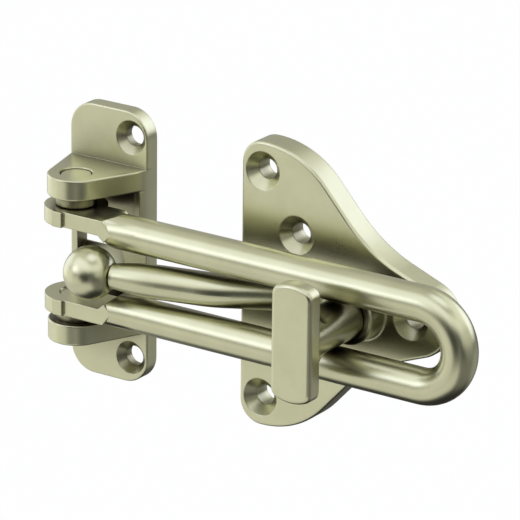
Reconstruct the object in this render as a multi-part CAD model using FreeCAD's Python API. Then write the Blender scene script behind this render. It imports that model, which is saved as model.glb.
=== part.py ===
import FreeCAD, Part
import math
import os

# Swing bar door guard, sizes in millimetres.
# The wall plane is y = 0 and the guard stands out towards -Y.
# +X runs along the bar from the hinge pins, +Z is up, z = 0 is the mid-plane.
# Distances along X are measured from the hinge axis. At the end all is moved to the origin,
# which lies midway between the bracket's two screws.

pin_offset = 15.7            # wall plane to the hinge pin axis
pin_radius = 4.0
pin_recess = 0.4             # pin end below the lug's outer face
pin_chamfer = 0.3

plate_left = -10.4           # bracket plate, measured from the pin axis
plate_right = 13.4
plate_half_height = 36.0
plate_thickness = 4.1
plate_corner = 7.0
plate_edge = 0.5
lug_inner = 16.35            # lug faces, heights above the mid-plane
lug_outer = 21.75
lug_nose = 7.25              # radius of the lug's round end
lug_edge = 0.45
lug_hip = 14.0               # round where the lug's side turns into the plate's side
rail_depth = 6.0             # wall plane to the face of the side rails
rail_width = 2.5
rail_end = 5.0               # the rails run out here, above the mid-plane
rail_curve = 6.0
window_left = -8.3           # the window narrows towards the wall
window_right = 7.2
window_waist = 5.2           # its right side stands in at the middle
window_half_height = 6.0
window_throat = 2.1          # half height of its opening at the wall
bracket_screw_x = 8.3
bracket_screw_z = 29.25

bracket_sink_radius = 4.45   # countersinks and screw holes
keeper_sink_radius = 4.95
screw_radius = 2.6

rod_radius = 4.5
rod_plane = 18.7             # wall plane to the rods' axes
rod_spacing = 20.7           # between the two rods' axes
loop_reach = 114.0           # pin axis to the loop's centreline
eye_radius = 8.0
eye_pad_left = -1.4          # raised pad on the eye's round front
eye_pad_right = 1.4
eye_pad_height = 0.3
eye_mouth = 0.45             # chamfer of the eye's bore, inside the bar
tab_inner = 9.65
tab_thickness = 3.95
tab_depth = 10.2
tab_length = 13.3            # pin axis to the outer shoulder
outer_slope = 21.0           # degrees, from the tab up to the rod
shoulder_inner = 12.0        # start of the slope down to the rod
inner_slope = 40.0
nose_length = 2.6            # the flat face's point past the shoulder

keeper_left = 43.6
keeper_half_height = 36.9
keeper_thickness = 6.9
keeper_edge = 0.8
keeper_corner = 6.0
shoulder_x = 50.0            # centre of the keeper's shoulder arc
shoulder_radius = 24.0
flank_angle = 48.0
neck_radius = 38.0
tail_angle = 21.0
tip_x = 94.0
tip_radius = 9.2
end_screw_x = 49.8
end_screw_z = 29.5
mid_screw_x = 59.8
mid_screw_z = 14.95
tip_screw_x = 92.9

knob_x = 78.5                # axis of the boss and the turn knob
boss_radius = 7.35
boss_gap = 0.6               # boss face to the back of the rods
boss_edge = 0.8
boss_root = 0.8              # fillet where the boss stands on the plate
column_side_gap = 0.35       # column to the rods on both sides
knob_side_gap = 0.15         # turned knob to the rods on both sides
knob_end_reach = 0.15        # the knob's ends past the outer sides of the rods
knob_depth = 4.0
knob_front = 37.3            # wall plane to the knob's face
knob_arch = 11.0             # radius of the two ends, seen from the front
knob_corner = 2.6
knob_edge = 1.1              # round of the face's rim
knob_flare = 6.0             # hollow curve from the column out to the bar of the T
knob_web = 8.4               # width of the flared web behind the bar
shank_radius = 4.0
shank_end = 0.5
recess_radius = 7.0          # hollow behind the plate for the clip
recess_depth = 3.6
groove_depth = 0.7
clip_thickness = 0.8
clip_back = 1.2
clip_radius = 5.9
clip_opening = 4.0
washer_thickness = 0.5
washer_inner_radius = 4.3
washer_outer_radius = 6.3

ball_radius = 6.8
ball_x = 10.6
ball_y = -24.3
arm_radius = 4.3
arm_lean = 13.4              # slope of the arm by the ball, degrees from the wall plane
arm_root_lean = 31.2         # slope of the arm where it rises from the plate
arm_bend_x = 42.9            # where the two slopes cross
arm_bend_radius = 25.0
arm_root_radius = 4.8
neck_width = 3.25            # radius of the arm where the ball begins
neck_length = 12.0

fit = 0.05                   # radial running clearance
gap = 0.3                    # between faces that pass each other

overrun = 1.0                # tools reach this far past what they cut
spacer_radius = 5.2

rod_offset = rod_spacing / 2
slot_half = rod_offset - rod_radius
column_radius = slot_half - column_side_gap
knob_width = 2 * (slot_half - knob_side_gap)
knob_height = 2 * (rod_offset + rod_radius + knob_end_reach)
rod_back = rod_plane - rod_radius
rod_front = rod_plane + rod_radius
boss_face = rod_back - boss_gap
tab_outer = tab_inner + tab_thickness


def box(x0, x1, y0, y1, z0, z1):
    corner = FreeCAD.Vector(x0, y0, z0)
    return Part.makeBox(x1 - x0, y1 - y0, z1 - z0, corner)


def rod(radius, start, end):
    path = end - start
    return Part.makeCylinder(radius, path.Length, start, path)


def upright(radius, x, y, z0, z1):
    return rod(radius, FreeCAD.Vector(x, y, z0), FreeCAD.Vector(x, y, z1))


def outward(radius, x, z, y0, y1):
    return rod(radius, FreeCAD.Vector(x, y0, z), FreeCAD.Vector(x, y1, z))


def prism_along_y(points, y0, y1):
    corners = [FreeCAD.Vector(x, y0, z) for x, z in points]
    face = Part.Face(Part.makePolygon(corners + corners[:1]))
    return face.extrude(FreeCAD.Vector(0, y1 - y0, 0))


def mirrored(shape):
    return shape.mirror(FreeCAD.Vector(0, 0, 0), FreeCAD.Vector(0, 0, 1))


def edges_at(shape, axis, value):
    found = []
    for edge in shape.Edges:
        low, high = edge.BoundBox.getPoint(0)[axis], edge.BoundBox.getPoint(6)[axis]
        if abs(low - value) < 1e-4 and abs(high - value) < 1e-4:
            found.append(edge)
    return found


def edges_along(shape, axis):
    found = []
    for edge in shape.Edges:
        if isinstance(edge.Curve, Part.Line) and abs(abs(edge.Curve.Direction[axis]) - 1) < 1e-6:
            found.append(edge)
    return found


def countersunk_hole(sink_radius, x, z, thickness):
    depth = sink_radius - screw_radius
    face = FreeCAD.Vector(x, -thickness, z)
    sink = Part.makeCone(sink_radius, screw_radius, depth, face, FreeCAD.Vector(0, 1, 0))
    mouth = outward(sink_radius, x, z, -thickness - overrun, -thickness)
    return sink.fuse([mouth, outward(screw_radius, x, z, -thickness, overrun)])


def tangent_point(corner, radius, turn):
    # where a line from a corner of the plate touches the lug's round nose
    across = -pin_offset - corner[1]
    distance = math.hypot(corner[0], across)
    bearing = math.atan2(-across, corner[0])
    angle = bearing + turn * math.acos(radius / distance)
    return radius * math.cos(angle), -pin_offset + radius * math.sin(angle)


def lug_outline(z):
    right = (plate_right, -plate_thickness)
    left = (plate_left, -plate_thickness)
    meet_right = tangent_point(right, lug_nose, -1)
    meet_left = tangent_point(left, lug_nose, 1)
    outline = [(plate_left, 0), left, meet_left, (0, -pin_offset - lug_nose)]
    outline += [meet_right, right, (plate_right, 0)]
    p = [FreeCAD.Vector(x, y, z) for x, y in outline]
    edges = [Part.makeLine(p[0], p[1]), Part.makeLine(p[1], p[2])]
    edges.append(Part.Arc(p[2], p[3], p[4]).toShape())
    edges += [Part.makeLine(p[4], p[5]), Part.makeLine(p[5], p[6]), Part.makeLine(p[6], p[0])]
    return Part.Face(Part.Wire(edges))


def lug():
    solid = lug_outline(lug_inner).extrude(FreeCAD.Vector(0, 0, lug_outer - lug_inner))
    rims = []
    for edge in edges_at(solid, 2, lug_outer) + edges_at(solid, 2, lug_inner):
        if edge.BoundBox.YMin < -plate_thickness - overrun:
            rims.append(edge)
    return solid.makeFillet(lug_edge, rims)


def bracket_plate():
    plate = box(plate_left, plate_right, -plate_thickness, 0, -plate_half_height, plate_half_height)
    plate = plate.makeFillet(plate_corner, edges_along(plate, 1))
    return plate.makeFillet(plate_edge, edges_at(plate, 1, -plate_thickness))


def rails():
    # two narrow rails carry the lug's sides down and curve back into the plate
    solid = lug_outline(rail_end).extrude(FreeCAD.Vector(0, 0, lug_inner - rail_end))
    lining = box(plate_left + rail_width, plate_right - rail_width, -rail_depth, 0, rail_end, lug_inner)
    sides = box(plate_left, plate_right, -rail_depth, 0, rail_end, lug_inner).cut(lining)
    centre = -plate_thickness - rail_curve
    start = FreeCAD.Vector(plate_left, centre, rail_end)
    end = FreeCAD.Vector(plate_right, centre, rail_end)
    return solid.common(sides).cut(rod(rail_curve, start, end))


def window():
    # a funnel: tall in the plate's face, a low slot at the wall
    flare = (window_half_height - window_throat) / plate_thickness
    front = window_half_height + flare * overrun
    back = window_throat - flare * overrun
    face = -plate_thickness - overrun
    section = [(face, -front), (overrun, -back), (overrun, back), (face, front)]
    corners = [FreeCAD.Vector(window_left, y, z) for y, z in section]
    side = Part.Face(Part.makePolygon(corners + corners[:1]))
    funnel = side.extrude(FreeCAD.Vector(window_right - window_left, 0, 0))
    outline = [(window_left, -front), (window_right, -front), (window_waist, 0)]
    outline += [(window_right, front), (window_left, front)]
    return funnel.common(prism_along_y(outline, face, overrun))


def hip(corner, way):
    # what a round takes off an upright edge of the bracket, between the lugs' outer faces
    touch = tangent_point(corner, lug_nose, way)
    tip = FreeCAD.Vector(corner[0], corner[1], -lug_outer)
    slant = FreeCAD.Vector(touch[0] - corner[0], touch[1] - corner[1], 0).normalize()
    side = FreeCAD.Vector(0, 1, 0)
    inward = (slant + side).normalize()
    half = slant.getAngle(side) / 2
    reach = lug_hip / math.tan(half)
    corners = [tip + side * reach, tip - inward * overrun, tip + slant * reach]
    face = Part.Face(Part.makePolygon(corners + corners[:1]))
    up = FreeCAD.Vector(0, 0, 2 * lug_outer)
    centre = tip + inward * (lug_hip / math.sin(half))
    return face.extrude(up).cut(rod(lug_hip, centre, centre + up))


def bar_bracket():
    solid = bracket_plate().fuse([rails(), mirrored(rails()), lug(), mirrored(lug())])
    tools = [window()]
    tools.append(hip((plate_right, -plate_thickness), -1))
    tools.append(hip((plate_left, -plate_thickness), 1))
    for z in (-bracket_screw_z, bracket_screw_z):
        tools.append(countersunk_hole(bracket_sink_radius, bracket_screw_x, z, plate_thickness))
    bore = upright(pin_radius, 0, -pin_offset, lug_inner - overrun, lug_outer + overrun)
    mouth = FreeCAD.Vector(0, -pin_offset, lug_outer - pin_chamfer)
    cone = Part.makeCone(pin_radius, pin_radius + 2 * pin_chamfer, 2 * pin_chamfer, mouth)
    tools += [bore, cone, mirrored(bore), mirrored(cone)]
    return solid.cut(tools).removeSplitter()


def upper_pin():
    solid = upright(pin_radius, 0, -pin_offset, tab_inner + pin_recess, lug_outer - pin_recess)
    return solid.makeChamfer(pin_chamfer, edges_at(solid, 2, lug_outer - pin_recess))


def upper_spacer():
    ring = upright(spacer_radius, 0, -pin_offset, tab_outer + gap, lug_inner)
    return ring.cut(upright(pin_radius + fit, 0, -pin_offset, tab_outer, lug_inner + overrun))


def tab():
    slope = math.tan(math.radians(inner_slope))
    drop = rod_radius / 3
    outline = [(0, tab_inner), (shoulder_inner, tab_inner)]
    outline += [(shoulder_inner + drop / slope, tab_inner - drop), (tab_length + nose_length, rod_offset)]
    outline += [(tab_length, tab_outer), (0, tab_outer)]
    slab = prism_along_y(outline, -rod_front, -rod_front + tab_depth)
    eye = upright(eye_radius, 0, -pin_offset, tab_inner, tab_outer)
    proud = box(eye_pad_right, eye_radius, -pin_offset - eye_radius, -rod_front, tab_inner, tab_outer)
    face = -pin_offset - eye_radius - eye_pad_height
    pad = box(eye_pad_left, eye_pad_right, face, -pin_offset, tab_inner, tab_outer)
    return slab.fuse([eye.cut(proud), pad])


def upper_rod():
    # the rod's end is cut to two slopes that run into the flat tab
    inner = math.tan(math.radians(inner_slope))
    outer = math.tan(math.radians(outer_slope))
    reach = loop_reach + rod_radius
    low = rod_offset - rod_radius - overrun
    high = rod_offset + rod_radius + overrun
    keep = [(tab_length / 2, tab_inner), (shoulder_inner, tab_inner)]
    keep += [(shoulder_inner + (tab_inner - low) / inner, low), (reach, low), (reach, high)]
    keep += [(tab_length + (high - tab_outer) / outer, high), (tab_length, tab_outer)]
    keep.append((tab_length / 2, tab_outer))
    start = FreeCAD.Vector(tab_length / 2, -rod_plane, rod_offset)
    end = FreeCAD.Vector(loop_reach - rod_offset, -rod_plane, rod_offset)
    return rod(rod_radius, start, end).common(prism_along_y(keep, -rod_front - overrun, -rod_back + overrun))


def swing_bar():
    centre = FreeCAD.Vector(loop_reach - rod_offset, -rod_plane, 0)
    ring = Part.makeTorus(rod_offset, rod_radius, centre, FreeCAD.Vector(0, 1, 0))
    reach = rod_offset + rod_radius + overrun
    half = box(centre.x, centre.x + reach, -rod_plane - reach, -rod_plane + reach, -reach, reach)
    loop = ring.common(half)
    arm = tab().fuse(upper_rod())
    solid = loop.fuse([arm, mirrored(arm)])
    bore = upright(pin_radius + fit, 0, -pin_offset, -tab_outer - overrun, tab_outer + overrun)
    rim = FreeCAD.Vector(0, -pin_offset, tab_inner - overrun)
    width = pin_radius + fit + eye_mouth
    mouth = Part.makeCone(width + overrun, width - eye_mouth, eye_mouth + overrun, rim)
    return solid.cut([bore, mouth, mirrored(mouth)]).removeSplitter()


def keeper_outline():
    # upper half, from the left edge's middle round to the tip
    flank = math.radians(flank_angle)
    tail = math.radians(tail_angle)
    top = keeper_half_height
    shoulder_z = top - shoulder_radius
    flank_start = (
        shoulder_x + shoulder_radius * math.sin(flank),
        shoulder_z + shoulder_radius * math.cos(flank),
    )
    tail_start = (tip_x + tip_radius * math.sin(tail), tip_radius * math.cos(tail))
    det = math.cos(flank) * math.sin(tail) - math.sin(flank) * math.cos(tail)
    dx = tail_start[0] - flank_start[0]
    dz = tail_start[1] - flank_start[1]
    along = (dx * math.sin(tail) + dz * math.cos(tail)) / det
    crossing = (flank_start[0] + along * math.cos(flank), flank_start[1] - along * math.sin(flank))
    trim = neck_radius * math.tan((flank - tail) / 2)
    neck_start = (crossing[0] - trim * math.cos(flank), crossing[1] + trim * math.sin(flank))
    neck_end = (crossing[0] + trim * math.cos(tail), crossing[1] - trim * math.sin(tail))
    middle = (flank + tail) / 2
    neck_middle = (
        neck_end[0] + neck_radius * (math.sin(tail) - math.sin(middle)),
        neck_end[1] + neck_radius * (math.cos(tail) - math.cos(middle)),
    )
    arch = (
        shoulder_x + shoulder_radius * math.sin(flank / 2),
        shoulder_z + shoulder_radius * math.cos(flank / 2),
    )
    tip_middle = (tip_x + tip_radius * math.cos(tail), tip_radius * math.sin(tail))
    turn = keeper_corner * (1 - math.sqrt(0.5))
    corner_start = (keeper_left, top - keeper_corner)
    corner_end = (keeper_left + keeper_corner, top)
    return [
        ("line", (keeper_left, 0), corner_start),
        ("arc", corner_start, (keeper_left + turn, top - turn), corner_end),
        ("line", corner_end, (shoulder_x, top)),
        ("arc", (shoulder_x, top), arch, flank_start),
        ("line", flank_start, neck_start),
        ("arc", neck_start, neck_middle, neck_end),
        ("line", neck_end, tail_start),
        ("arc", tail_start, tip_middle, (tip_x + tip_radius, 0)),
    ]


def keeper_plate():
    edges = []
    for side in (1, -1):
        for piece in keeper_outline():
            points = [FreeCAD.Vector(x, 0, side * z) for x, z in piece[1:]]
            if piece[0] == "line":
                edges.append(Part.makeLine(points[0], points[1]))
            else:
                edges.append(Part.Arc(*points).toShape())
    wire = Part.Wire(Part.__sortEdges__(edges))
    plate = Part.Face(wire).extrude(FreeCAD.Vector(0, -keeper_thickness, 0))
    return plate.makeFillet(keeper_edge, edges_at(plate, 1, -keeper_thickness))


def arm():
    # a round arm with one bend: it rises from the plate, runs inside the bar's slot
    # and narrows to a neck at the ball
    lean = math.radians(arm_lean)
    root_lean = math.radians(arm_root_lean)
    ball = FreeCAD.Vector(ball_x, ball_y, 0)
    along = FreeCAD.Vector(math.cos(lean), math.sin(lean), 0)
    across = FreeCAD.Vector(along.y, -along.x, 0)
    trim = arm_bend_radius * math.tan((root_lean - lean) / 2)
    length = (arm_bend_x - ball_x) / math.cos(lean) - trim
    middle = neck_length / 2
    swell = arm_radius - (arm_radius - neck_width) / 4
    p = [ball, ball + across * neck_width, ball + across * neck_width + along * ball_radius]
    p.append(ball + across * swell + along * (ball_radius + middle))
    p.append(ball + across * arm_radius + along * (ball_radius + neck_length))
    p += [ball + across * arm_radius + along * length, ball + along * length]
    edges = [Part.makeLine(p[0], p[1]), Part.makeLine(p[1], p[2]), Part.Arc(p[2], p[3], p[4]).toShape()]
    edges += [Part.makeLine(p[4], p[5]), Part.makeLine(p[5], p[6]), Part.makeLine(p[6], p[0])]
    shaft = Part.Face(Part.Wire(edges)).revolve(ball, along, 360)
    end = ball + along * length
    disc = Part.Face(Part.Wire(Part.makeCircle(arm_radius, end, along)))
    centre = end - across * arm_bend_radius
    bend = disc.revolve(centre, FreeCAD.Vector(0, 0, 1), arm_root_lean - arm_lean)
    turned = FreeCAD.Vector(math.cos(root_lean), math.sin(root_lean), 0)
    corner = centre + FreeCAD.Vector(turned.y, -turned.x, 0) * arm_bend_radius
    reach = (-plate_thickness - corner.y) / turned.y
    root = Part.makeCone(arm_radius, arm_root_radius, reach, corner, turned)
    return [shaft, bend, root]


def keeper():
    boss = outward(boss_radius, knob_x, 0, -overrun, -boss_face)
    solid = keeper_plate().fuse(boss)
    seam = edges_at(solid, 1, -keeper_thickness)
    root = [edge for edge in seam if edge.BoundBox.XLength < 2 * boss_radius + overrun]
    solid = solid.makeFillet(boss_root, root)
    solid = solid.makeFillet(boss_edge, edges_at(solid, 1, -boss_face))
    ball = Part.makeSphere(ball_radius, FreeCAD.Vector(ball_x, ball_y, 0))
    solid = solid.fuse([ball] + arm())
    tools = [outward(shank_radius + fit, knob_x, 0, -boss_face - overrun, overrun)]
    tools.append(outward(recess_radius, knob_x, 0, -recess_depth, overrun))
    places = [(tip_screw_x, 0)]
    for side in (-1, 1):
        places += [(end_screw_x, side * end_screw_z), (mid_screw_x, side * mid_screw_z)]
    for x, z in places:
        tools.append(countersunk_hole(keeper_sink_radius, x, z, keeper_thickness))
    return solid.cut(tools).removeSplitter()


def knob_block():
    # a bar with arched ends and a rounded rim
    back = -knob_front + knob_depth
    half = knob_width / 2
    tall = knob_height / 2
    arch = tall - knob_arch
    ends = [outward(knob_arch, knob_x, z, -knob_front, back) for z in (-arch, arch)]
    block = box(knob_x - knob_arch, knob_x + knob_arch, -knob_front, back, -arch, arch).fuse(ends)
    block = block.common(box(knob_x - half, knob_x + half, -knob_front, back, -tall, tall))
    block = block.removeSplitter()
    block = block.makeFillet(knob_corner, edges_along(block, 1))
    return block.makeFillet(knob_edge, edges_at(block, 1, -knob_front))


def knob_flare_web():
    # a trumpet from the column to the bar, trimmed to a web narrower than both
    back = -knob_front + knob_depth
    wide = column_radius + knob_flare
    rim = FreeCAD.Vector(knob_x + wide, back, 0)
    foot = FreeCAD.Vector(knob_x + column_radius, back + knob_flare, 0)
    turn = knob_flare * math.sqrt(0.5)
    middle = FreeCAD.Vector(knob_x + wide - turn, back + knob_flare - turn, 0)
    corners = [foot, FreeCAD.Vector(knob_x, foot.y, 0), FreeCAD.Vector(knob_x, back - overrun, 0)]
    corners += [FreeCAD.Vector(rim.x, back - overrun, 0), rim]
    edges = Part.makePolygon(corners).Edges + [Part.Arc(rim, middle, foot).toShape()]
    axis = FreeCAD.Vector(knob_x, 0, 0)
    trumpet = Part.Face(Part.Wire(edges)).revolve(axis, FreeCAD.Vector(0, 1, 0), 360)
    half = knob_web / 2
    return trumpet.common(box(knob_x - half, knob_x + half, back - overrun, foot.y, -wide, wide))


def turn_knob():
    back = -knob_front + knob_depth
    column = outward(column_radius, knob_x, 0, back - overrun, -boss_face - gap)
    shank = outward(shank_radius, knob_x, 0, back - overrun, -shank_end)
    groove = outward(shank_radius + overrun, knob_x, 0, -clip_back - clip_thickness, -clip_back)
    groove = groove.cut(outward(shank_radius - groove_depth, knob_x, 0, -recess_depth, 0))
    return knob_block().fuse([knob_flare_web(), column, shank]).cut(groove).removeSplitter()


def retaining_clip():
    front = -clip_back - clip_thickness
    ring = outward(clip_radius, knob_x, 0, front, -clip_back)
    ring = ring.cut(outward(shank_radius - groove_depth, knob_x, 0, front - overrun, 0))
    half = clip_opening / 2
    return ring.cut(box(knob_x - half, knob_x + half, front - overrun, 0, 0, clip_radius + overrun))


def spring_washer():
    # a cone washer between the recess floor and the clip
    front = -recess_depth
    crown = -clip_back - clip_thickness - gap
    outline = [(washer_outer_radius, front), (washer_outer_radius, front + washer_thickness)]
    outline += [(washer_inner_radius, crown), (washer_inner_radius, crown - washer_thickness)]
    corners = [FreeCAD.Vector(knob_x + r, y, 0) for r, y in outline]
    face = Part.Face(Part.makePolygon(corners + corners[:1]))
    return face.revolve(FreeCAD.Vector(knob_x, 0, 0), FreeCAD.Vector(0, 1, 0), 360)


os.makedirs("parts", exist_ok=True)

pieces = {
    "bar_bracket": bar_bracket(),
    "upper_pin": upper_pin(),
    "lower_pin": mirrored(upper_pin()),
    "upper_spacer": upper_spacer(),
    "lower_spacer": mirrored(upper_spacer()),
    "swing_bar": swing_bar(),
    "keeper": keeper(),
    "turn_knob": turn_knob(),
    "retaining_clip": retaining_clip(),
    "spring_washer": spring_washer(),
}
for name, shape in pieces.items():
    shape.translate(FreeCAD.Vector(-bracket_screw_x, 0, 0))
    print(name, len(shape.Solids), shape.isValid(), round(shape.Volume, 1))
    shape.Solids[0].exportStep(os.path.join("parts", name + ".step"))
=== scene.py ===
import bmesh
import bpy
import math
from mathutils import Matrix, Vector


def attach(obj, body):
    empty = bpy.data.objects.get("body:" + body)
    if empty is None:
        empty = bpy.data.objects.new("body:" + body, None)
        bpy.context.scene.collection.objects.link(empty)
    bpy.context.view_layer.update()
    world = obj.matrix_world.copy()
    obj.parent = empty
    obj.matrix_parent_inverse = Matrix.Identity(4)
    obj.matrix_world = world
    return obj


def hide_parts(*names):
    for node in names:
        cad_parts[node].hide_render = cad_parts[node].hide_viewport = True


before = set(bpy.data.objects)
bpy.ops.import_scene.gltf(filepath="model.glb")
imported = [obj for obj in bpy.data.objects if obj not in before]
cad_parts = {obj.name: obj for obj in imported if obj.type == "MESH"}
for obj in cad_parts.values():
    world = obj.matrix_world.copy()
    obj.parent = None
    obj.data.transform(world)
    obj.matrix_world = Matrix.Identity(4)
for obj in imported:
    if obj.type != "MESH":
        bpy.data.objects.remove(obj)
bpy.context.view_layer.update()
print("frame loaded:", len(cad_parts), "nodes")


# one socket of a node tree; arithmetic on it adds Math nodes
class Value:
    def __init__(self, graph, socket):
        self.graph = graph
        self.socket = socket

    def maths(self, operation, *others):
        sockets = {0: self, **{i + 1: v for i, v in enumerate(others)}}
        return self.graph.node("ShaderNodeMath", {"operation": operation}, sockets).out(0)

    def __add__(self, other):
        return self.maths("ADD", other)

    def __sub__(self, other):
        return self.maths("SUBTRACT", other)

    def __mul__(self, other):
        return self.maths("MULTIPLY", other)

    def __truediv__(self, other):
        return self.maths("DIVIDE", other)

    def __radd__(self, other):
        return self + other

    def __rmul__(self, other):
        return self * other

    def __rsub__(self, other):
        return self * -1.0 + other

    def __rtruediv__(self, other):
        return self.maths("POWER", -1.0) * other

    def atMost(self, other):
        return self.maths("MINIMUM", other)

    def atLeast(self, other):
        return self.maths("MAXIMUM", other)

    # 0 below low, 1 above high, eased between them
    def ease(self, low, high):
        ends = {"Value": self, "From Min": low, "From Max": high}
        return self.graph.node("ShaderNodeMapRange", {"interpolation_type": "SMOOTHSTEP"}, ends).out(0)


# a node in its tree, asked for its outputs
class Placed:
    def __init__(self, graph, node):
        self.graph = graph
        self.node = node

    def out(self, name):
        return Value(self.graph, self.node.outputs[name])


# a node tree that is filled by one method
class Graph:
    def __init__(self, tree):
        self.tree = tree
        tree.nodes.clear()

    def node(self, kind, settings=None, values=None):
        made = self.tree.nodes.new(kind)
        for name, setting in (settings or {}).items():
            setattr(made, name, setting)
        for name, value in (values or {}).items():
            if isinstance(value, Value):
                self.tree.links.new(value.socket, made.inputs[name])
            else:
                made.inputs[name].default_value = value
        return Placed(self, made)

    # a colour between two others
    def blend(self, factor, low, high):
        return self.node("ShaderNodeMix", {"data_type": "RGBA"}, {"Factor": factor, 6: low, 7: high}).out(2)


def newMaterial(name):
    material = bpy.data.materials.new(name)
    material.use_nodes = True
    return material, Graph(material.node_tree)


# satin nickel plate over zinc castings, and the plain steel of the clip and washer
satin = {
    "tint": (0.615, 0.615, 0.40, 1.0),
    "shade": (0.575, 0.572, 0.37, 1.0),
    "steelTint": (0.56, 0.55, 0.53, 1.0),
    "steelShade": (0.48, 0.47, 0.45, 1.0),
    # painted shade: this dark tint is blended into the colour where ambient occlusion finds surfaces close
    # by, standing in for shade in corners and between parts
    "paintedShadeTint": (0.10, 0.085, 0.05, 1.0),
    "openPaintedShade": {"reach": 0.02, "dark": 0.05, "clear": 0.65},
    # deeper painted shade, for the pieces set in tight corners
    "deepPaintedShade": {"reach": 0.018, "dark": 0.2, "clear": 1.0},   # between the lugs and behind the bar
    "paintedShadeSamples": 8,
    "roughness": 0.29,
    "roughnessSpread": 0.05,
    "cloudSize": 0.012,
    "cloudLow": 0.35,          # the clouds' darkest and lightest level
    "cloudHigh": 0.65,
    "cloudDetail": 4.0,
    "cloudRoughness": 0.6,
    "grainSize": 0.00035,
    "grainDetail": 2.0,
    "grainRoughness": 0.7,
    "grainDepth": 0.0000015,
    "grainStrength": 0.6,
    "softEdge": 0.0004,
    "softEdgeSamples": 6,
}


# soft cloudy noise, or fine grain, over the piece's own coordinates
def speckle(graph, kind):
    place = graph.node("ShaderNodeTexCoord").out("Object")
    values = {"Vector": place, "Scale": 1 / satin[kind + "Size"]}
    values["Detail"] = satin[kind + "Detail"]
    values["Roughness"] = satin[kind + "Roughness"]
    return graph.node("ShaderNodeTexNoise", {"noise_dimensions": "3D"}, values).out("Fac")


def satinNickel(name, tint, shade, paintedShade):
    material, graph = newMaterial(name)
    clouds = speckle(graph, "cloud")
    grain = speckle(graph, "grain")
    colour = graph.blend(clouds.ease(satin["cloudLow"], satin["cloudHigh"]), shade, tint)
    # painted shade: the colour darkens towards the dark tint where ambient occlusion finds nearby surfaces
    settings = {"samples": satin["paintedShadeSamples"]}
    openness = graph.node("ShaderNodeAmbientOcclusion", settings, {"Distance": paintedShade["reach"]}).out("AO")
    colour = graph.blend(openness.ease(paintedShade["dark"], paintedShade["clear"]), satin["paintedShadeTint"], colour)
    rough = satin["roughness"] + (clouds - 0.5) * satin["roughnessSpread"]
    rough = rough + (grain - 0.5) * satin["roughnessSpread"]
    settings = {"samples": satin["softEdgeSamples"]}
    edge = graph.node("ShaderNodeBevel", settings, {"Radius": satin["softEdge"]}).out("Normal")
    values = {"Strength": satin["grainStrength"], "Distance": satin["grainDepth"]}
    values.update({"Height": grain, "Normal": edge})
    bump = graph.node("ShaderNodeBump", None, values).out("Normal")
    values = {"Base Color": colour, "Metallic": 1.0, "Roughness": rough, "Normal": bump}
    shader = graph.node("ShaderNodeBsdfPrincipled", None, values)
    graph.node("ShaderNodeOutputMaterial", None, {"Surface": shader.out("BSDF")})
    return material


nickel = satinNickel("satin_nickel", satin["tint"], satin["shade"], satin["openPaintedShade"])
# the same nickel with deeper painted shade in its corners, for the bracket, spacers and knob
deepShadeNickel = satinNickel("satin_nickel_deep_painted_shade", satin["tint"], satin["shade"], satin["deepPaintedShade"])
steel = satinNickel("spring_steel", satin["steelTint"], satin["steelShade"], satin["openPaintedShade"])
finish = {"retaining_clip": steel, "spring_washer": steel}
for name in ("bar_bracket", "upper_spacer", "lower_spacer", "turn_knob"):
    finish[name] = deepShadeNickel
for name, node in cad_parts.items():
    node.data.materials.clear()
    node.data.materials.append(finish.get(name, nickel))
print("materials made")


# swing bar: two rods and the loop, drawn along one path beyond the hinge ends
bar = {
    "rodRadius": 0.0045,
    "rodSpacing": 0.0207,
    "rodPlane": -0.0187,
    "loopReach": 0.1057,       # origin to the loop's centreline
    "hingeEnd": 0.0150,        # where the cast hinge end runs into the round rod
    "seam": 0.0004,            # gap that is bridged between the two
    "weld": 0.000001,
    "sharpFrom": 13,           # degrees between faces that keep a hard edge
    "pathPoints": 260,
    "roundPoints": 56,
}


# a U-shaped tube: x and z come from the distance along the path
def makeRodTree(material):
    tree = bpy.data.node_groups.new("bent_rod", "GeometryNodeTree")
    graph = Graph(tree)
    sizes = {"Rod Radius": "rodRadius", "Rod Spacing": "rodSpacing", "Rod Plane": "rodPlane"}
    sizes.update({"Loop Reach": "loopReach", "Hinge End": "hingeEnd"})
    counts = {"Path Points": "pathPoints", "Round Points": "roundPoints"}
    keys = {}
    for kind, names in (("NodeSocketFloat", sizes), ("NodeSocketInt", counts)):
        for name, key in names.items():
            socket = tree.interface.new_socket(name, in_out="INPUT", socket_type=kind)
            keys[socket.identifier] = key
    tree.interface.new_socket("Geometry", in_out="OUTPUT", socket_type="NodeSocketGeometry")
    given = graph.node("NodeGroupInput")
    radius, spacing, plane, reach, start = [given.out(name) for name in sizes]
    bend = spacing / 2
    centre = reach - bend
    quarter = bend * math.pi / 2
    half = centre - start + quarter
    points = graph.node("GeometryNodeCurvePrimitiveLine").out("Curve")
    values = {"Curve": points, "Count": given.out("Path Points")}
    points = graph.node("GeometryNodeResampleCurve", None, values).out("Curve")
    along = (graph.node("GeometryNodeSplineParameter").out("Factor") * 2 - 1) * half
    distance = along.maths("ABSOLUTE")
    turn = distance.atMost(quarter) / bend
    straight = (distance - quarter).atLeast(0.0)
    x = centre + turn.maths("COSINE") * bend - straight
    z = turn.maths("SINE") * bend * along.maths("SIGN")
    place = graph.node("ShaderNodeCombineXYZ", None, {"X": x, "Y": plane, "Z": z}).out("Vector")
    values = {"Geometry": points, "Position": place}
    path = graph.node("GeometryNodeSetPosition", None, values).out("Geometry")
    values = {"Resolution": given.out("Round Points"), "Radius": radius}
    ring = graph.node("GeometryNodeCurvePrimitiveCircle", None, values).out("Curve")
    tube = graph.node("GeometryNodeCurveToMesh", None, {"Curve": path, "Profile Curve": ring}).out("Mesh")
    tube = graph.node("GeometryNodeRealizeInstances", None, {"Geometry": tube}).out("Geometry")
    values = {"Geometry": tube, "Material": material}
    tube = graph.node("GeometryNodeSetMaterial", None, values).out("Geometry")
    graph.node("NodeGroupOutput", None, {"Geometry": tube})
    return tree, keys


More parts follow.
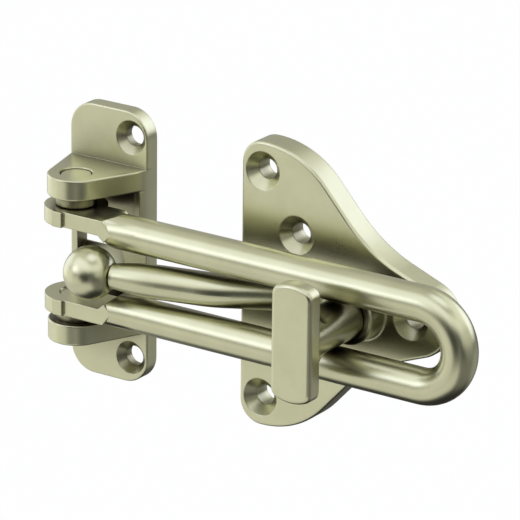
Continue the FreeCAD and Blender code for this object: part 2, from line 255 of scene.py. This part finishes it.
def drawRods(material):
    tree, keys = makeRodTree(material)
    carrier = bpy.data.objects.new("rod_path", bpy.data.meshes.new("rod_path"))
    bpy.context.scene.collection.objects.link(carrier)
    modifier = carrier.modifiers.new("bent rod", "NODES")
    modifier.node_group = tree
    for identifier, key in keys.items():
        modifier[identifier] = bar[key]
    bpy.context.view_layer.update()
    drawn = carrier.evaluated_get(bpy.context.evaluated_depsgraph_get())
    mesh = bpy.data.meshes.new_from_object(drawn)
    carrier.modifiers.remove(modifier)
    bpy.data.objects.remove(carrier)
    return mesh


# the cast hinge ends are the CAD node's mesh, cut off and joined to the drawn rods
def makeBar(material):
    rods = drawRods(material)
    work = bmesh.new()
    work.from_mesh(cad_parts["swing_bar"].data)
    bmesh.ops.remove_doubles(work, verts=work.verts, dist=bar["weld"])
    cut = bar["hingeEnd"] - bar["seam"]
    everything = work.verts[:] + work.edges[:] + work.faces[:]
    bmesh.ops.bisect_plane(work, geom=everything, plane_co=(cut, 0, 0), plane_no=(1, 0, 0), clear_outer=True)
    work.from_mesh(rods)
    rims = [edge for edge in work.edges if edge.is_boundary]
    for side in (-1, 1):
        pair = [edge for edge in rims if edge.verts[0].co.z * side > 0]
        bmesh.ops.bridge_loops(work, edges=pair)
    bmesh.ops.recalc_face_normals(work, faces=work.faces)
    loose = sum(edge.is_boundary for edge in work.edges)
    mesh = bpy.data.meshes.new("bent_bar")
    work.to_mesh(mesh)
    work.free()
    mesh.materials.clear()
    mesh.materials.append(material)
    piece = bpy.data.objects.new("bent_bar", mesh)
    bpy.context.scene.collection.objects.link(piece)
    mesh.shade_smooth()
    mesh.set_sharp_from_angle(angle=math.radians(bar["sharpFrom"]))
    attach(piece, "bar")
    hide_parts("swing_bar")
    print("swing bar drawn:", len(mesh.polygons), "faces,", loose, "open edges")


makeBar(nickel)


# studio: a white tent with panels, dark round the camera
# angles in degrees round the object: azimuth from +X towards +Y, elevation upwards
studio = {
    "floorHeight": -0.45,
    "floorSize": 8.0,
    "floorColour": (0.86, 0.86, 0.85, 1.0),
    "floorGlow": 0.96,
    "white": (1.0, 1.0, 1.0, 1.0),
    "wallTint": (1.0, 1.0, 0.985, 1.0),
    "lampTint": (0.94, 0.97, 1.2, 1.0),
    "lampFrom": 0.9,           # brightness from which a panel counts as a lamp, and as a full one
    "lampFull": 1.7,
    "softness": 9.0,           # half width of a panel's eased edge
    "leastAhead": 0.001,
    "panels": {
        "key": {"azimuth": 232, "elevation": 20, "width": 15, "height": 12, "strength": 2.40},
        "key, right": {"azimuth": 260, "elevation": 18, "width": 16, "height": 14, "strength": 1.30},
        "key, high": {"azimuth": 250, "elevation": 48, "width": 40, "height": 20, "strength": 1.40},
        "front right, high": {"azimuth": 318, "elevation": 38, "width": 34, "height": 16, "strength": 1.20},
        "right, high": {"azimuth": 12, "elevation": 42, "width": 34, "height": 18, "strength": 1.10},
        "right back, high": {"azimuth": 56, "elevation": 52, "width": 34, "height": 18, "strength": 1.20},
        "right back": {"azimuth": 62, "elevation": 22, "width": 24, "height": 20, "strength": 1.75},
        "right wall": {"azimuth": 0, "elevation": 14, "width": 36, "height": 16, "strength": 0.75},
        "right, level": {"azimuth": 4, "elevation": -8, "width": 24, "height": 12, "strength": 0.30},
        "right back, low": {"azimuth": 52, "elevation": -26, "width": 26, "height": 18, "strength": 0.38},
        "front right, level": {"azimuth": 306, "elevation": -12, "width": 8, "height": 16, "strength": 0.25},
        "floor, right": {"azimuth": 350, "elevation": -38, "width": 40, "height": 20, "strength": 0.22},
        "floor, half right": {"azimuth": 284, "elevation": -42, "width": 24, "height": 18, "strength": 0.90},
        "floor, front": {"azimuth": 240, "elevation": -50, "width": 42, "height": 20, "strength": 0.85},
        "floor, middle": {"azimuth": 240, "elevation": -20, "width": 26, "height": 18, "strength": 0.93},
        "left front, low": {"azimuth": 206, "elevation": -12, "width": 24, "height": 22, "strength": 1.10},
        "floor, left": {"azimuth": 176, "elevation": -30, "width": 30, "height": 24, "strength": 0.80},
        "floor, back": {"azimuth": 110, "elevation": -28, "width": 40, "height": 26, "strength": 0.08},
        "left wall": {"azimuth": 174, "elevation": 4, "width": 24, "height": 26, "strength": 1.50},
        "left wall, high": {"azimuth": 186, "elevation": 28, "width": 30, "height": 18, "strength": 0.95},
        "left, high": {"azimuth": 195, "elevation": 58, "width": 36, "height": 18, "strength": 0.75},
        "back, high": {"azimuth": 124, "elevation": 50, "width": 36, "height": 20, "strength": 0.55},
        "back, low": {"azimuth": 124, "elevation": 16, "width": 28, "height": 20, "strength": 0.50},
        "ceiling": {"azimuth": 0, "elevation": 84, "width": 18, "height": 18, "strength": 1.60},
    },
    "cameraGap": {"azimuth": 276, "elevation": 2, "width": 18, "height": 15},
}


def pointing(azimuth, elevation):
    a, e = math.radians(azimuth), math.radians(elevation)
    return Vector((math.cos(a) * math.cos(e), math.sin(a) * math.cos(e), math.sin(e)))


def along(graph, way, axis):
    return graph.node("ShaderNodeVectorMath", {"operation": "DOT_PRODUCT"}, {0: way, 1: axis}).out("Value")


# 1 inside a panel's outline as seen from the object, 0 outside, eased at its edge
def panelMask(graph, way, panel):
    centre = pointing(panel["azimuth"], panel["elevation"])
    right = pointing(panel["azimuth"] + 90, 0)
    up = centre.cross(right)
    ahead = along(graph, way, centre).atLeast(studio["leastAhead"])
    edge = math.tan(math.radians(studio["softness"]))
    sides = []
    for axis, size in ((right, panel["width"]), (up, panel["height"])):
        reach = math.tan(math.radians(size))
        offset = (along(graph, way, axis) / ahead).maths("ABSOLUTE")
        sides.append(1 - offset.ease(reach - edge, reach + edge))
    return sides[0] * sides[1]


# brightness of the tent in a direction: the brightest panel there, less the gap the camera looks through
def surroundings(graph, way):
    total = 0.0
    for name, panel in studio["panels"].items():
        mask = panelMask(graph, way, panel)
        settings = {"operation": "MULTIPLY", "label": name}
        lamp = graph.node("ShaderNodeMath", settings, {0: mask, 1: panel["strength"]}).out(0)
        total = lamp.atLeast(total)
    return total * (1 - panelMask(graph, way, studio["cameraGap"]))


# white paper that the camera and mirrored rays see plain, but for the object's shadow
def makeFloor():
    half = studio["floorSize"] / 2
    mesh = bpy.data.meshes.new("floor")
    corners = [(-half, -half), (half, -half), (half, half), (-half, half)]
    mesh.from_pydata([(x, y, studio["floorHeight"]) for x, y in corners], [], [(0, 1, 2, 3)])
    floor = bpy.data.objects.new("floor", mesh)
    bpy.context.scene.collection.objects.link(floor)
    material, graph = newMaterial("floor_paper")
    ray = graph.node("ShaderNodeLightPath")
    spot = graph.node("ShaderNodeTexCoord").out("Object")
    way = graph.node("ShaderNodeVectorMath", {"operation": "NORMALIZE"}, {0: spot}).out("Vector")
    straight = ray.out("Is Camera Ray").atLeast(ray.out("Is Transmission Ray"))
    seen = straight.atLeast(ray.out("Is Glossy Ray"))
    brightness = straight.atLeast(surroundings(graph, way))
    paper = graph.node("ShaderNodeBsdfDiffuse", None, {"Color": studio["floorColour"]}).out("BSDF")
    glow = graph.node("ShaderNodeEmission", None, {"Color": brightness}).out("Emission")
    values = {0: seen * studio["floorGlow"], 1: paper, 2: glow}
    mixed = graph.node("ShaderNodeMixShader", None, values).out("Shader")
    graph.node("ShaderNodeOutputMaterial", None, {"Surface": mixed})
    mesh.materials.append(material)


# plain white to the camera, the tent's panels to everything else
def makeWorld():
    world = bpy.data.worlds.new("studio")
    bpy.context.scene.world = world
    world.use_nodes = True
    graph = Graph(world.node_tree)
    way = graph.node("ShaderNodeTexCoord").out("Generated")
    ray = graph.node("ShaderNodeLightPath").out("Is Camera Ray")
    glow = surroundings(graph, way)
    lampness = glow.ease(studio["lampFrom"], studio["lampFull"])
    tint = graph.blend(lampness, studio["wallTint"], studio["lampTint"])
    tint = graph.blend(ray, tint, studio["white"])
    strength = glow * (1 - ray) + ray
    shader = graph.node("ShaderNodeBackground", None, {"Color": tint, "Strength": strength})
    graph.node("ShaderNodeOutputWorld", None, {"Surface": shader.out("Background")})


makeFloor()
makeWorld()
bpy.context.scene.view_settings.view_transform = "Standard"
print("studio made")


# camera, fitted to the photograph
shot = {
    "place": (0.573386, -0.798898, 0.348367),
    "back": (0.52519, -0.78128, 0.33732),
    "right": (0.82760, 0.56121, 0.01131),
    "lens": 286.97,
    "sensor": 36.0,
    "nearest": 0.01,
}


def makeCamera():
    back = Vector(shot["back"]).normalized()
    right = Vector(shot["right"])
    right = (right - back * right.dot(back)).normalized()
    up = back.cross(right)
    data = bpy.data.cameras.new("camera")
    data.sensor_width = shot["sensor"]
    data.lens = shot["lens"]
    data.clip_start = shot["nearest"]
    camera = bpy.data.objects.new("camera", data)
    turn = Matrix((right, up, back)).transposed().to_4x4()
    camera.matrix_world = Matrix.Translation(shot["place"]) @ turn
    bpy.context.scene.collection.objects.link(camera)
    bpy.context.scene.camera = camera


makeCamera()
print("camera made")
